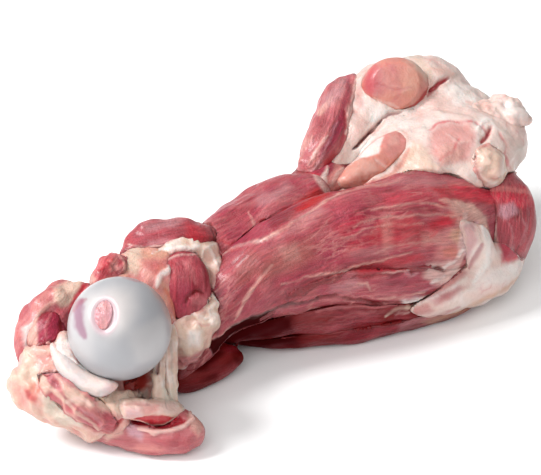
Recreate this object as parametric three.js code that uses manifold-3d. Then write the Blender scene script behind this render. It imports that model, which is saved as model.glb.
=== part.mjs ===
import * as THREE from 'three';
import { mergeVertices } from 'three/addons/utils/BufferGeometryUtils.js';
import Module from 'manifold-3d';

// Meaty pork leg bone: a thigh bone in its meat, lying on its side. Millimetres, +Z up.
// The hip end with its bare round head is at -X, the knee end with its kneecap at +X.
// Each muscle, lobe of fat and sheet of gristle is a solid of its own, swept from ovals
// along a few stations, and keeps clear of the pieces that lie over it.

const wasm = await Module();
wasm.setup();

// Driving dimensions
const GAP = 0.3; // clearance between neighbouring pieces
const HEAD_RADIUS = 17.5; // round head of the thigh bone
const HEAD = [-84, -14, 40]; // its centre
const NECK_RADIUS = 10;
const SHAFT_RADIUS = 11; // thinnest part of the bone's shaft
const KNEECAP_RADIUS = 10.5;
const WAVE_SPREAD = [9, 9, 7]; // how far apart the waves are read across a piece's width
const FLOOR_SPAN = 600; // width of the block that trims the underside flat
const FLOOR_DEPTH = 60; // and its depth

// The ways in which the broad side of a piece looks
const UP = [0, 0, 1];
const HEADWARD = [-0.6, -0.62, 0.5]; // the way the round head points, out of the joint
const FRONT = [-0.2, -0.75, 0.63];
const FRONT_LOW = [-0.2, -0.9, 0.35];
const SIDE = [-0.1, -0.95, 0.2];
const BACK = [0, 1, 0.1];
const TOP_LEFT = [-0.2, -0.4, 0.9];
const KNEE_TOP = [-0.3, -0.4, 0.85];

// Looks: colour and roughness
const BONE = [0xc9ccd3, 0.25];
const GRISTLE = [0xe9dcd6, 0.35];
const FAT = [0xe6cbbb, 0.4];
const PINK = [0xd98d83, 0.35];
const MEAT = [0xb04a50, 0.45];
const DARK_MEAT = [0x84262c, 0.45];
const PALE_MEAT = [0xd0908a, 0.45];

// A closed three.js geometry as a solid
function solid(geometry) {
  geometry.deleteAttribute('normal');
  geometry.deleteAttribute('uv');
  const merged = mergeVertices(geometry, 1e-4);
  return new wasm.Manifold(new wasm.Mesh({
    numProp: 3,
    vertProperties: new Float32Array(merged.attributes.position.array),
    triVerts: new Uint32Array(merged.index.array),
  }));
}

function join(first, ...others) {
  return others.reduce((whole, other) => whole.add(other), first);
}

// Slow waves that keep a surface as uneven as flesh is
function uneven(x, y, z) {
  const broad = Math.sin(x * 0.21 + y * 0.13) * Math.cos(z * 0.19 - y * 0.11 + 1.3);
  const fine = Math.sin(x * 0.47 - z * 0.39 + 2.1) * Math.sin(y * 0.43 + x * 0.17);
  return broad * 0.6 + fine * 0.4;
}

function smoothLine(points) {
  return new THREE.CatmullRomCurve3(points, false, 'catmullrom', 0.5);
}

// An oval section swept along a smooth line of stations [x, y, z, half width, half thickness].
// The broad side looks along face, both ends are rounded off (the blunter, the fuller),
// and a piece grown by a clearance is the same shape, that much larger all round.
function belly(stations, options) {
  const { face = UP, sides = 10, rings = 9, blunt = 3, relief = 0.6, grow = 0 } = options;
  const line = smoothLine(stations.map(([x, y, z]) => new THREE.Vector3(x, y, z)));
  const sizes = smoothLine(stations.map(([, , , width, depth]) => new THREE.Vector3(width, depth, 0)));
  const geometry = new THREE.SphereGeometry(1, sides, rings);
  const place = geometry.attributes.position;
  for (let i = 0; i < place.count; i += 1) {
    const along = (1 - place.getY(i)) / 2;
    const around = Math.hypot(place.getX(i), place.getZ(i));
    const side = around > 1e-6 ? place.getX(i) / around : 0;
    const out = around > 1e-6 ? place.getZ(i) / around : 0;
    const end = Math.abs(2 * along - 1) ** blunt;
    const cap = Math.sqrt(Math.max(0, 1 - end));
    const point = line.getPoint(along);
    const ahead = line.getTangent(along);
    const size = sizes.getPoint(along);
    const across = new THREE.Vector3(...face).cross(ahead).normalize();
    const outward = new THREE.Vector3().crossVectors(ahead, across);
    const [spreadX, spreadY, spreadZ] = WAVE_SPREAD;
    const wave = uneven(point.x + side * spreadX, point.y + out * spreadY, point.z + side * spreadZ);
    const extra = grow + relief * wave;
    point.addScaledVector(across, side * cap * (size.x + extra));
    point.addScaledVector(outward, out * cap * (size.y + extra));
    point.addScaledVector(ahead, Math.sign(2 * along - 1) * end * grow);
    place.setXYZ(i, point.x, point.y, point.z);
  }
  return solid(geometry);
}

function ball([x, y, z], radius, { sides, rings, grow }) {
  return solid(new THREE.SphereGeometry(radius + grow, sides, rings).translate(x, y, z));
}

// ---- The bone: head, neck and shaft, which runs through the meat to the knee ----

function headPit(grow) {
  return belly([
    [-91.6, -15.6, 57.2, 3, 2], [-94.8, -19.8, 53, 4.4, 2.6], [-97.6, -22.5, 47.8, 3, 2],
  ], { face: HEADWARD, grow, rings: 7, blunt: 2, relief: 0 });
}

function thighBone(grow) {
  const neck = [[...HEAD, 12, 12], [-72, -2, 34, NECK_RADIUS, NECK_RADIUS], [-60, 6, 28, 12, 12]];
  const shaft = [
    [-70, 9, 27, SHAFT_RADIUS + 1, SHAFT_RADIUS], [-50, 5, 27, SHAFT_RADIUS + 1, SHAFT_RADIUS],
    [-15, 2, 27, SHAFT_RADIUS, SHAFT_RADIUS], [20, 0, 29, SHAFT_RADIUS, SHAFT_RADIUS],
    [55, -2, 31, SHAFT_RADIUS + 3, SHAFT_RADIUS + 1], [80, -4, 30, 22, 16], [100, -4, 28, 26, 18],
  ];
  return join(
    ball(HEAD, HEAD_RADIUS, { sides: 24, rings: 14, grow }),
    belly(neck, { grow, blunt: 8, rings: 6 }),
    belly(shaft, { grow, blunt: 8, rings: 8, sides: 8, relief: 0.2 }),
  ).subtract(headPit(-grow));
}

// Stump of the ligament that sits in the head's pit
function headLigament(grow) {
  return belly([
    [-91.8, -16.2, 55.8, 1.8, 1.4], [-93.8, -18.7, 52.2, 2.8, 1.8], [-96.2, -21.2, 48.6, 1.8, 1.4],
  ], { face: HEADWARD, grow, sides: 8, rings: 6, relief: 0.2 });
}

// ---- Hip end ----

// White rim of the joint, a crescent under the head
function hipRim(grow) {
  return belly([
    [-102, 1, 36, 2, 2], [-102.6, -7, 30.2, 2.8, 3], [-101.4, -12.8, 26.8, 3, 3.2],
    [-98.8, -17.8, 25.4, 3, 3.2], [-95.8, -22.4, 26.2, 2.4, 2.6], [-93, -26, 27.6, 1.4, 1.6],
  ], { face: HEADWARD, grow, rings: 10, sides: 8, relief: 0.2 });
}

// Two tendon strands that hang from the head's side to the strip under it
function hipStrands(grow) {
  const look = { face: HEADWARD, grow, relief: 0.2 };
  return join(
    belly([[-62, -16, 34, 2, 2], [-69, -21, 26, 3, 2.4], [-73, -26, 18, 3, 2.4], [-79, -33, 8, 3, 3]],
      { ...look, rings: 8, sides: 8 }),
    belly([[-70, -19, 30, 1.6, 1.6], [-77, -25, 23, 2, 2], [-80, -29, 16, 2.4, 2.4], [-81, -34, 9, 2, 2]],
      { ...look, rings: 7, sides: 6 }),
    belly([[-97, -24, 19, 2, 3], [-89, -30, 17, 3, 4], [-81, -33, 14, 3.4, 4], [-72, -33, 11, 2, 3]],
      { ...look, rings: 7, sides: 8 }),
  );
}

// Tongue of meat that lies out on the floor, with a slit along it
function hipFlap(grow) {
  const slit = belly([[-91, -32, 12, 1, 3], [-85, -37, 13, 1.8, 5], [-78, -42, 14, 1, 3]],
    { face: HEADWARD, sides: 8, rings: 6, blunt: 2 });
  return belly([
    [-99, -12, 5, 4, 4], [-93, -21, 6, 5.5, 5.5], [-86, -30, 7, 6.5, 6], [-79, -38, 7, 7.5, 6],
    [-72, -43, 7, 6.5, 5],
  ], { face: HEADWARD, grow, rings: 10, sides: 12 }).subtract(slit);
}

// Dark cut muscle on the neck of the bone
function hipBlock(grow) {
  return belly([
    [-43, 0, 46, 6, 5], [-46, -4, 41, 8, 6], [-49, -8, 34, 7, 6], [-53, -10, 28, 3, 4],
  ], { face: HEADWARD, grow, sides: 12 });
}

// Lobe of fat under it, with two small lumps
function hipFat(grow) {
  return join(
    belly([[-46, -11, 31, 4, 4], [-51, -13, 26, 7, 5], [-56, -14, 19, 7, 5], [-59, -14, 14, 4, 4]],
      { face: HEADWARD, grow, rings: 7 }),
    ball([-44, -14, 32], 3.5, { grow, sides: 7, rings: 5 }),
    ball([-46, -17, 27], 3.5, { grow, sides: 7, rings: 5 }),
  );
}

function hipTopMuscle(grow) {
  return belly([
    [-56, 18, 43, 4.5, 5], [-47, 15, 46, 7, 6], [-39, 10, 47, 7, 6], [-31, 6, 46, 7, 6], [-25, 4, 44, 4, 4],
  ], { face: TOP_LEFT, grow, rings: 10, sides: 12 });
}

// Strap of fat that turns down between the hip and the front muscle
function hipBand(grow) {
  return belly([
    [-52, 6, 45, 3, 3], [-40, 2, 47, 3, 3], [-33, -2, 44, 3, 3], [-35, -7, 37, 2.6, 3], [-40, -11, 30, 2, 3],
  ], { face: HEADWARD, grow, rings: 10, sides: 8, relief: 0.3 });
}

function hipRedBits(grow) {
  return belly([
    [-79, 6, 44, 2, 2], [-72, 9, 45, 4, 3], [-65, 12, 46, 5, 4], [-59, 13, 45, 4, 3],
  ], { face: TOP_LEFT, grow, rings: 8, sides: 8 });
}

function collarOval(grow) {
  return belly([
    [-101, 6, 28, 3, 3], [-99, 7, 33, 5, 4], [-94, 8, 40, 3.4, 3.5],
  ], { face: HEADWARD, grow, rings: 8 });
}

function collarLower(grow) {
  return belly([
    [-108, 0, 26, 2.5, 3], [-107, -7, 25, 4, 4], [-104, -15, 21, 4.5, 4.5], [-101, -22, 16, 4, 4.5],
    [-97, -26, 12, 3, 3],
  ], { face: HEADWARD, grow });
}

function collarUpper(grow) {
  return belly([
    [-105, 9, 23, 5, 5], [-99, 13, 29, 7, 7], [-91, 15, 35, 7.5, 8], [-82, 14, 38, 7, 7], [-74, 12, 39, 5, 5],
  ], { face: HEADWARD, grow, rings: 10, sides: 12 });
}

// Cream mass round the joint that the head sits in
function collarFat(grow) {
  return join(
    belly([
      [-100, 11, 32, 11, 9], [-100, 3, 24, 13, 12], [-97, -8, 17, 12, 12], [-92, -18, 12, 10, 10],
      [-83, -26, 9, 8, 8],
    ], { face: HEADWARD, grow, rings: 8 }),
    belly([[-88, -4, 20, 9, 9], [-78, -12, 17, 9, 9], [-68, -12, 14, 8, 8]],
      { face: HEADWARD, grow, rings: 6, sides: 8 }),
    belly([[-110, 10, 24, 5, 5], [-111, 3, 20, 6, 6], [-108, -5, 15, 5.5, 6], [-101, -12, 11, 4, 5]],
      { face: HEADWARD, grow, rings: 7, sides: 8 }),
  );
}

// Tissue wrapped round the neck of the bone
function hipTissue(grow) {
  return join(
    belly([[-78, 10, 34, 9, 8], [-62, 5, 37, 13, 9], [-48, 3, 38, 12, 8], [-34, 2, 37, 9, 7]],
      { face: TOP_LEFT, grow, rings: 7 }),
    belly([[-88, 6, 20, 12, 14], [-70, 4, 19, 17, 20], [-54, 3, 22, 15, 17], [-44, 2, 26, 12, 12]],
      { grow, rings: 6 }),
  );
}

// ---- Knee end ----

function kneecap(grow) {
  return belly([
    [73, 22, 65, KNEECAP_RADIUS, 7], [82, 14, 67, KNEECAP_RADIUS, 8], [91, 6, 65, KNEECAP_RADIUS, 7],
  ], { face: HEADWARD, grow, blunt: 2, sides: 14, relief: 0.2 });
}

function kneeStrip(grow) {
  return belly([
    [80, 34, 63, 3.5, 4], [71, 31, 62, 6, 6], [59, 26, 58, 7, 6], [49, 19, 54, 7, 7], [40, 16, 50, 7, 7],
    [30, 13, 46, 7, 6],
  ], { face: KNEE_TOP, grow, rings: 10 });
}

function kneePad(grow) {
  return belly([
    [29, -4, 48, 3, 3], [38, -6, 50, 5, 4], [49, -7, 53, 6, 4], [59, -7, 55, 7, 4], [66, -5, 56, 5, 3],
  ], { face: KNEE_TOP, grow });
}

function kneeLobe(grow) {
  return ball([81, -35, 49], 7, { grow, sides: 10, rings: 7 });
}

function kneeFlap(grow) {
  return belly([
    [98, -14, 58, 9, 4], [105, -23, 59, 8, 3], [112, -31, 58, 5, 2],
  ], { face: KNEE_TOP, grow, rings: 8 });
}

function kneeEndMuscle(grow) {
  return belly([[90, -33, 42, 9, 7], [87, -41, 33, 12, 8.5], [81, -46, 23, 12, 9], [76, -48, 15, 8, 8]],
    { face: FRONT_LOW, grow, rings: 10 });
}

// White capsule of the knee: the joint's bulk, two ridges over it and a fold between them
function kneeCapsule(grow) {
  return join(
    belly([[34, -4, 42, 9, 7], [60, -10, 44, 20, 12], [86, -14, 47, 27, 15], [114, -27, 46, 21, 16]],
      { grow, rings: 8, sides: 12 }),
    belly([
      [38, 10, 44, 8, 7], [60, 19, 48, 13, 12], [84, 21, 53, 18, 16], [104, 12, 59, 15, 12], [114, 4, 58, 9, 8],
    ], { face: KNEE_TOP, grow, rings: 8, sides: 10 }),
    belly([[88, 6, 54, 8, 8], [104, -3, 54, 10, 9], [114, -12, 52, 8, 8]], { grow, rings: 5, sides: 8 }),
    belly([[50, -2, 24, 20, 18], [82, -4, 26, 38, 28], [112, -6, 29, 30, 26]], { grow, rings: 7, sides: 10 }),
  );
}

// ---- Muscles along the shaft ----

// White sheet of tendon that wraps the low corner at the knee
function tendonSheet(grow) {
  return join(
    belly([[52, -45, 40, 3, 4], [58, -49, 31, 5, 5], [63, -49, 20, 8, 7]],
      { face: SIDE, grow, rings: 6, sides: 8 }),
    belly([
      [26, -46, 13, 4, 4], [48, -49, 13, 7, 7], [68, -49, 14, 11, 9], [84, -43, 17, 11, 10],
      [94, -33, 22, 8, 9],
    ], { face: SIDE, grow }),
  );
}

function frontMuscle(grow) {
  return belly([
    [-59, -13, 7, 6, 5], [-42, -12, 23, 11, 8], [-18, -15, 36, 14, 10], [7, -22, 41, 16, 12],
    [31, -30, 40, 18, 13], [55, -34, 34, 20, 14], [74, -36, 31, 19, 13], [88, -33, 35, 12, 9],
  ], { face: FRONT, grow, sides: 12, rings: 13 });
}

function frontLower(grow) {
  return belly([
    [-36, -16, 22, 6, 5], [-20, -20, 28, 8, 7], [0, -27, 30, 9, 9], [22, -35, 27, 11, 10],
    [44, -40, 22, 12, 11], [66, -42, 18, 12, 10],
  ], { face: FRONT_LOW, grow, rings: 11 });
}

function middleBundle(grow) {
  return belly([
    [-42, -6, 10, 5, 5], [-26, -12, 16, 8, 7], [-8, -21, 18, 8, 9], [12, -30, 16, 8, 10], [32, -37, 12, 8, 9],
    [52, -42, 9, 7, 8],
  ], { face: SIDE, grow, rings: 10 });
}

function lowerBundle(grow) {
  return belly([
    [-30, -2, 8, 6, 7], [-12, -13, 7, 8, 9], [6, -23, 7, 9, 10], [24, -32, 7, 10, 10], [42, -38, 7, 10, 11],
    [60, -42, 9, 11, 11], [76, -42, 11, 10, 10],
  ], { face: SIDE, grow, rings: 10 });
}

function topMuscle(grow) {
  return belly([
    [-40, 4, 36, 9, 7], [-22, 4, 38, 13, 10], [-2, 5, 38, 15, 12], [18, 5, 40, 15, 12], [34, 4, 40, 12, 10],
  ], { grow, rings: 10, sides: 12 });
}

function underMuscle(grow) {
  return belly([
    [-64, -8, 8, 6, 6], [-54, -12, 8, 8, 6], [-43, -14, 7, 8, 6], [-30, -18, 6, 5, 5],
  ], { face: SIDE, grow, rings: 8 });
}

function rearMuscle(grow) {
  return belly([
    [-68, 14, 20, 12, 9], [-45, 11, 20, 18, 13], [-10, 9, 20, 21, 15], [25, 11, 22, 23, 16],
    [60, 16, 25, 26, 16], [82, 18, 27, 20, 12],
  ], { face: BACK, grow, rings: 8 });
}

function deepMuscle(grow) {
  return belly([
    [-46, 0, 14, 8, 8], [-20, -2, 13, 13, 10], [10, -6, 12, 17, 12], [40, -12, 12, 20, 13],
    [62, -14, 14, 16, 14],
  ], { grow, sides: 8, rings: 7 });
}

// Name, looks and shape of each piece. Each keeps clear of all those above it.
const PIECES = [
  ['thigh_bone', BONE, thighBone],
  ['head_ligament', PINK, headLigament],
  ['hip_rim', GRISTLE, hipRim],
  ['hip_strands', GRISTLE, hipStrands],
  ['hip_flap', PALE_MEAT, hipFlap],
  ['hip_block', DARK_MEAT, hipBlock],
  ['hip_fat', FAT, hipFat],
  ['hip_top_muscle', MEAT, hipTopMuscle],
  ['hip_band', FAT, hipBand],
  ['hip_red_bits', MEAT, hipRedBits],
  ['collar_oval', DARK_MEAT, collarOval],
  ['collar_lower', PALE_MEAT, collarLower],
  ['collar_upper', PALE_MEAT, collarUpper],
  ['collar_fat', FAT, collarFat],
  ['hip_tissue', PALE_MEAT, hipTissue],
  ['kneecap', PINK, kneecap],
  ['knee_strip', MEAT, kneeStrip],
  ['knee_pad', PINK, kneePad],
  ['knee_lobe', FAT, kneeLobe],
  ['knee_flap', GRISTLE, kneeFlap],
  ['knee_end_muscle', MEAT, kneeEndMuscle],
  ['tendon_sheet', GRISTLE, tendonSheet],
  ['front_muscle', MEAT, frontMuscle],
  ['front_lower', MEAT, frontLower],
  ['middle_bundle', DARK_MEAT, middleBundle],
  ['lower_bundle', DARK_MEAT, lowerBundle],
  ['top_muscle', MEAT, topMuscle],
  ['under_muscle', DARK_MEAT, underMuscle],
  ['rear_muscle', MEAT, rearMuscle],
  ['deep_muscle', DARK_MEAT, deepMuscle],
  ['knee_capsule', GRISTLE, kneeCapsule],
];

function toMesh(name, [colour, roughness], body) {
  const { vertProperties, triVerts } = body.getMesh();
  const geometry = new THREE.BufferGeometry();
  geometry.setAttribute('position', new THREE.BufferAttribute(new Float32Array(vertProperties), 3));
  geometry.setIndex(new THREE.BufferAttribute(new Uint32Array(triVerts), 1));
  geometry.computeVertexNormals();
  const material = new THREE.MeshStandardMaterial({ color: colour, roughness, metalness: 0 });
  const mesh = new THREE.Mesh(geometry, material);
  mesh.name = name;
  return mesh;
}

// Cuts each piece clear of those before it and flat on the floor, and drops loose scraps.
// The group's origin is on the floor, under the middle of the whole.
function buildBone() {
  const block = new THREE.BoxGeometry(FLOOR_SPAN, FLOOR_SPAN, FLOOR_DEPTH);
  const floor = solid(block.translate(0, 0, -FLOOR_DEPTH / 2));
  const group = new THREE.Group();
  const taken = [];
  for (const [name, look, form] of PIECES) {
    const cut = taken.reduce((rest, other) => rest.subtract(other), form(0).subtract(floor));
    const [body] = cut.decompose().sort((a, b) => b.volume() - a.volume());
    group.add(toMesh(name, look, body));
    taken.push(form(GAP));
  }
  const box = new THREE.Box3().setFromObject(group);
  group.position.set(-(box.min.x + box.max.x) / 2, -(box.min.y + box.max.y) / 2, -box.min.z);
  return group;
}

export default buildBone();
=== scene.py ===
"""Meaty pork leg bone: wet raw meat, fat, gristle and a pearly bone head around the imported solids.

Measures are in millimetres in the part's design frame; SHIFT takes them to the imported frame.
Marks that follow the photograph are given in its pixels and lie on the surface that shows there.
"""

import math

import bmesh
import bpy
import numpy as np
from mathutils import Matrix, Vector
from mathutils.bvhtree import BVHTree


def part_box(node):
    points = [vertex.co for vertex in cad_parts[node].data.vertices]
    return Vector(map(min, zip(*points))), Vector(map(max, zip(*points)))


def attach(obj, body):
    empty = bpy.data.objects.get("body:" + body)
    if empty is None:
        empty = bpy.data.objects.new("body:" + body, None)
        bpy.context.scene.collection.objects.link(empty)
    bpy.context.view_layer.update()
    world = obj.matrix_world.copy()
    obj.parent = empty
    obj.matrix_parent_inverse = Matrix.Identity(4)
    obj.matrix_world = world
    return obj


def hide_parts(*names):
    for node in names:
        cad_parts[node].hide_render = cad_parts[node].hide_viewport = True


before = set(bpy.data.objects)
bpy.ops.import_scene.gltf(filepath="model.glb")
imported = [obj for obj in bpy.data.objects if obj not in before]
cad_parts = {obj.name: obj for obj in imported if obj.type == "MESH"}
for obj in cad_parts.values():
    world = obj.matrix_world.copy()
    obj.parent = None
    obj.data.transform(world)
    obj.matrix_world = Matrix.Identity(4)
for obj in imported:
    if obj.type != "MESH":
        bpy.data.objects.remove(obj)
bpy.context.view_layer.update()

MM = 0.001
HEAD = np.array([-84.0, -14.0, 40.0])  # centre of the round bone head
HEAD_RADIUS = 17.5
bone_low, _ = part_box("thigh_bone")
SHIFT = np.array([
    bone_low.x / MM - (HEAD[0] - HEAD_RADIUS),
    bone_low.y / MM - (HEAD[1] - HEAD_RADIUS),
    0.0,
])

# ---- Camera: the photograph's angle ----
WIDTH, HEIGHT = 541, 475
LENS, SENSOR = 120.0, 36.0
FOCAL = LENS / SENSOR * WIDTH
AZIMUTH, ELEVATION = math.radians(-44), math.radians(30)
HEAD_PIXEL, HEAD_PIXEL_RADIUS = (119.5, 328.5), 52.0
RIGHT = np.array([math.cos(AZIMUTH), math.sin(AZIMUTH), 0.0])
BACKWARD = np.array([
    math.sin(AZIMUTH) * math.cos(ELEVATION),
    -math.cos(AZIMUTH) * math.cos(ELEVATION),
    math.sin(ELEVATION),
])
UPWARD = np.cross(BACKWARD, RIGHT)
DEPTH = FOCAL * HEAD_RADIUS / HEAD_PIXEL_RADIUS
CAMERA = (
    HEAD
    - (HEAD_PIXEL[0] - WIDTH / 2) / FOCAL * DEPTH * RIGHT
    - (HEIGHT / 2 - HEAD_PIXEL[1]) / FOCAL * DEPTH * UPWARD
    + DEPTH * BACKWARD
)


def to_pixels(points):
    """Where design-frame points fall in the photograph."""
    q = points - CAMERA
    depth = -(q @ BACKWARD)
    return np.stack([
        WIDTH / 2 + FOCAL * (q @ RIGHT) / depth,
        HEIGHT / 2 - FOCAL * (q @ UPWARD) / depth,
    ], -1)


def new_object(name, data):
    made = bpy.data.objects.new(name, data)
    bpy.context.scene.collection.objects.link(made)
    return made


def make_camera():
    data = bpy.data.cameras.new("camera")
    data.lens, data.sensor_width = LENS, SENSOR
    data.clip_start, data.clip_end = 0.01, 20
    camera = new_object("camera", data)
    axes = Matrix(np.stack([RIGHT, UPWARD, BACKWARD], 1).tolist()).to_4x4()
    camera.matrix_world = Matrix.Translation(Vector((CAMERA + SHIFT) * MM)) @ axes
    bpy.context.scene.camera = camera


# ---- Noise ----
NOISE_GAIN = 1.6  # brings the noise near to its full range


def lattice(ix, iy, iz, seed):
    """A fixed random value, -1 to 1, for each cell and seed."""
    h = (ix * 374761393 + iy * 668265263 + iz * 1274126177 + seed * 974634777) & 0xFFFFFFFF
    h = ((h ^ (h >> 13)) * 1103515245) & 0xFFFFFFFF
    return ((h ^ (h >> 16)) & 0xFFFF) / 32767.5 - 1


def noise(points, size, seed=0, octaves=2, stretch=(1, 1, 1)):
    """Smooth noise, about -1 to 1, of grain size in millimetres."""
    total, weight, p = 0, 0, points / (size * np.array(stretch))
    for octave in range(octaves):
        amount = 0.5 ** octave
        q = p * 2 ** octave + 17.3 * octave
        cell = np.floor(q).astype(np.int64)
        f = q - cell
        f = f * f * f * (f * (f * 6 - 15) + 10)
        value = 0
        for corner in range(8):
            step = [corner & 1, corner >> 1 & 1, corner >> 2 & 1]
            share = np.prod([f[:, k] if step[k] else 1 - f[:, k] for k in range(3)], 0)
            value = value + share * lattice(*(cell[:, k] + step[k] for k in range(3)), seed + octave)
        total, weight = total + amount * value, weight + amount
    return np.clip(total / weight * NOISE_GAIN, -1, 1)


def unit(vector):
    return vector / np.linalg.norm(vector)


def ease(x, low, high):
    """Goes smoothly from 0 at low to 1 at high."""
    t = np.clip((x - low) / (high - low), 0, 1)
    return t * t * (3 - 2 * t)


# ---- Colours ----
EXPOSURE = 0.64  # light that a piece in the open gives back, against the photograph's
SHEEN = 0.012  # what the moist surface reflects of the studio, taken off the colours


def srgb(r, g, b):
    """Albedo that shows as this colour in the photograph's light."""
    c = np.array([r, g, b]) / 255
    c = np.where(c < 0.04045, c / 12.92, ((c + 0.055) / 1.055) ** 2.4)
    return np.maximum(c * EXPOSURE - SHEEN, 0.002)


# near-black red of painted shade: under the shaft, in creases between bundles and under the ball's edge
SHADE_RED = srgb(70, 6, 10)
CRIMSON = srgb(130, 18, 36)
DARK = srgb(142, 44, 54)
PLUM = srgb(172, 56, 80)
RED = srgb(202, 28, 56)
BRIGHT = srgb(224, 62, 82)
MEAT = srgb(186, 82, 92)
BROWN = srgb(184, 108, 98)
ROSE = srgb(206, 118, 122)
MAUVE = srgb(208, 148, 152)
LILAC = srgb(220, 172, 182)
PINK = srgb(232, 152, 146)
SALMON = srgb(228, 152, 136)
ORANGE = srgb(224, 122, 96)
TAN = srgb(230, 180, 150)
PALE = srgb(234, 182, 168)
BLUSH = srgb(244, 204, 194)
CREAM = srgb(240, 208, 188)
IVORY = srgb(236, 222, 204)
IVORY_PINK = srgb(252, 226, 216)
WHITE = srgb(254, 242, 236)
PORCELAIN = srgb(232, 220, 218)
SCARLET = srgb(196, 8, 30)
# grey of painted shade on pale tissue: the rim's lower edge, grooves between strands, the knee flap's
# undercut and the knee's right side
GREY = srgb(208, 192, 182)
PEARL = srgb(186, 186, 190)
VIOLET = srgb(158, 96, 128)
HOLLOW = srgb(196, 58, 50)


# ---- Skins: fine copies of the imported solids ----
WAVER = (1.5, 0.7)  # how far the marks waver, broadly and finely, in pixels
FILLED = (2.4, 5.2)  # depths in millimetres from which a crease is filled less, and no longer
CREASE_SHADE_DEPTHS = (0.5, 2.2)  # depths at which painted crease shade begins to show, and shows in full


class Skin:
    """Points, normals and colours of one piece, in the design frame."""

    def __init__(self, node, spacing, smooth, swell, source=None):
        self.node = node
        self.spacing = spacing
        self.mesh = remeshed(source or welded(node), spacing)
        self.co = read(self.mesh.vertices, "co") / MM - SHIFT
        edges = np.zeros(len(self.mesh.edges) * 2, np.int64)
        self.mesh.edges.foreach_get("vertices", edges)
        self.edges = edges.reshape(-1, 2)
        self.relax(smooth)
        self.move(swell)
        self.rgb = np.zeros_like(self.co)
        self.vein = np.zeros(len(self.co))
        self.seam = np.zeros(len(self.co))

    def relax(self, sigma, share=0.5):
        """Smooths the surface as a blur of sigma millimetres does."""
        a, b = self.edges.T
        count = len(self.co)
        degree = np.bincount(a, minlength=count) + np.bincount(b, minlength=count)
        for _ in range(int(round(2 * sigma ** 2 / (share * self.spacing ** 2)))):
            mean = np.stack([
                np.bincount(a, self.co[b, k], count) + np.bincount(b, self.co[a, k], count)
                for k in range(3)
            ], 1) / degree[:, None]
            self.co += share * (mean - self.co)
        self.refresh()

    def refresh(self):
        self.mesh.vertices.foreach_set("co", ((self.co + SHIFT) * MM).ravel())
        self.mesh.update()
        self.normal = read(self.mesh.vertex_normals, "vector")

    def move(self, height):
        """Raises the surface by height and lays what passes the floor flat on it."""
        self.co += self.normal * np.reshape(height, (-1, 1))
        self.co[:, 2] = np.maximum(self.co[:, 2], 0.0)
        self.refresh()

    def settle(self, envelope, fill, pull):
        """Fills creases out to the envelope, notes their depths for painted crease shade, and flattens what
        bulges past it.
        """
        hits = [envelope.find_nearest(point) for point in self.co]
        place, normal = (np.array([hit[k] for hit in hits]) for k in (0, 1))
        distance = np.array([hit[3] for hit in hits])
        inside = ((self.co - place) * normal).sum(1) < 0
        depth = np.where(inside, distance, 0)
        share = np.where(inside, fill * (1 - ease(distance, *FILLED)), pull)
        self.co += share[:, None] * (place - self.co)
        self.seam = fill * ease(depth, *CREASE_SHADE_DEPTHS)
        self.refresh()

    def faces(self):
        """The numbers of each face's four points."""
        corners = np.zeros(len(self.mesh.loops), np.int64)
        self.mesh.loops.foreach_get("vertex_index", corners)
        return corners.reshape(-1, 4)

    def look(self):
        """Refreshes the pixels at which points show and how squarely they face the camera."""
        broad = np.stack([noise(self.co, 7, seed) for seed in (71, 72)], 1)
        fine = np.stack([noise(self.co, 2.4, seed) for seed in (73, 74)], 1)
        self.pixel = to_pixels(self.co) + WAVER[0] * broad + WAVER[1] * fine
        toward = CAMERA - self.co
        toward /= np.linalg.norm(toward, axis=1)[:, None]
        self.facing = ease((self.normal * toward).sum(1), -0.05, 0.2)
        self.broken = 1 - 0.55 * ease(noise(self.co, 4, 75), 0.0, 0.8)

    def tint(self, colour, mask):
        """Lays a colour over the paint as far as the mask says."""
        mask = np.clip(mask, 0, 1)[:, None]
        self.rgb = self.rgb * (1 - mask) + colour * mask

    def line_mask(self, course, width):
        """A brush stroke along the course, thin at its ends and uneven where it is narrow."""
        distance, along, _, whole = follow(self.pixel, points_of(course))
        half = width * (0.12 + 0.4 * np.sqrt(np.sin(np.pi * np.clip(along / whole, 0.01, 0.99))))
        stroke = 1 - ease(distance, half * 0.3, half + 1.1)
        return stroke * self.facing * (self.broken if width < 4.5 else 1)

    def area_mask(self, course, soft):
        """The area inside the course, with a soft edge."""
        x, y = self.pixel.T
        inside = np.zeros(len(x), bool)
        loop = points_of(course)
        loop.append(loop[0])
        for (x1, y1), (x2, y2) in zip(loop, loop[1:]):
            if y1 != y2:
                inside ^= ((y1 > y) != (y2 > y)) & (x < (x2 - x1) * (y - y1) / (y2 - y1) + x1)
        distance = follow(self.pixel, loop)[0]
        return ease(np.where(inside, distance, -distance), -soft / 2, soft) * self.facing


def points_of(course):
    """The points of a course that is written as x,y pairs."""
    return [tuple(map(int, pair.split(","))) for pair in course.split()]


def follow(points, line):
    """Each point's distance from a line, its place along it and its offset, and the line's length."""
    best, along, offset, start = np.full(len(points), 1e6), 0, 0, 0
    for a, b in zip(line, line[1:]):
        run = np.subtract(b, a)
        length = np.linalg.norm(run)
        t = np.clip((points - a) @ run / length ** 2, 0, 1)
        away = points - a - t[:, None] * run
        distance = np.linalg.norm(away, axis=1)
        nearer = distance < best
        best = np.where(nearer, distance, best)
        along = np.where(nearer, start + t * length, along)
        offset = np.where(nearer[:, None], away, offset)
        start += length
    return best, along, offset, start


def read(collection, name):
    """A mesh's vectors as an array with a row for each."""
    values = np.zeros(len(collection) * 3, np.float32)
    collection.foreach_get(name, values)
    return values.reshape(-1, 3).astype(float)


def welded(node):
    """A node's mesh with its corners joined."""
    bm = bmesh.new()
    bm.from_mesh(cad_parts[node].data)
    bmesh.ops.remove_doubles(bm, verts=bm.verts, dist=1e-6)
    source = bpy.data.meshes.new("source")
    bm.to_mesh(source)
    bm.free()
    return source


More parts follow.
